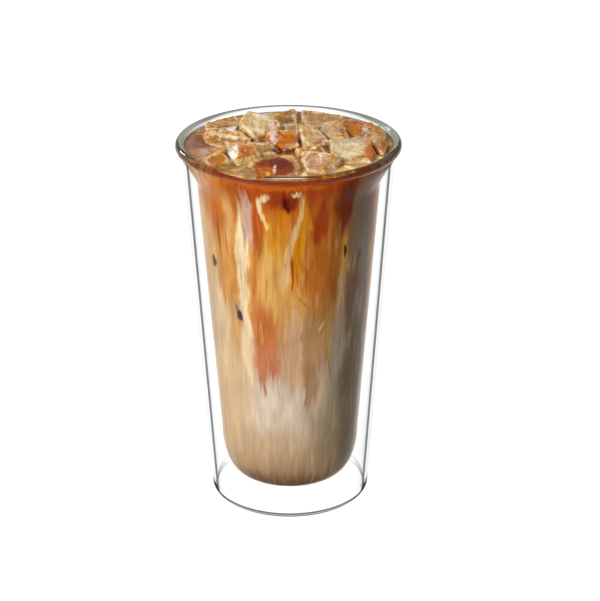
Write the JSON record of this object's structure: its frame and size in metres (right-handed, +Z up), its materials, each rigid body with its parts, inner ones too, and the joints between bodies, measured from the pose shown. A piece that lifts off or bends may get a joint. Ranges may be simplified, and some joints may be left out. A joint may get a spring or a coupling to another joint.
{
  "type": "iced coffee",
  "caption": "Marbled iced coffee with milk in a tall double-walled glass tumbler with a rounded lip, filled to the brim and topped with broken ice.",
  "frame": {"origin": "centre of the base, on the surface that the glass stands on", "axes": "+Z up along the glass's axis, -Y towards the side that the picture shows"},
  "size_m": [0.085, 0.085, 0.1496],
  "materials": {
    "clear_glass": "clear, polished",
    "silicone": "translucent, satin",
    "coffee": "coffee and milk in marbled streaks, wet",
    "ice": "wet ice coated with coffee and milk"
  },
  "bodies": {
    "root": {"glass": "clear_glass", "vent_plug": "silicone", "drink": "coffee", "ice_amber_sliver": "ice", "ice_back_left": "ice", "ice_back_peak": "ice", "ice_back_right": "ice", "ice_back_small": "ice", "ice_centre": "ice", "ice_centre_right": "ice", "ice_far_right_back": "ice", "ice_far_right_front": "ice", "ice_front_left": "ice", "ice_front_right": "ice", "ice_front_window": "ice", "ice_left_ridge": "ice", "ice_left_slab": "ice", "ice_left_window": "ice", "ice_right_amber": "ice", "ice_right_front": "ice", "ice_right_inner": "ice", "ice_small_centre": "ice"}
  },
  "joints": []
}
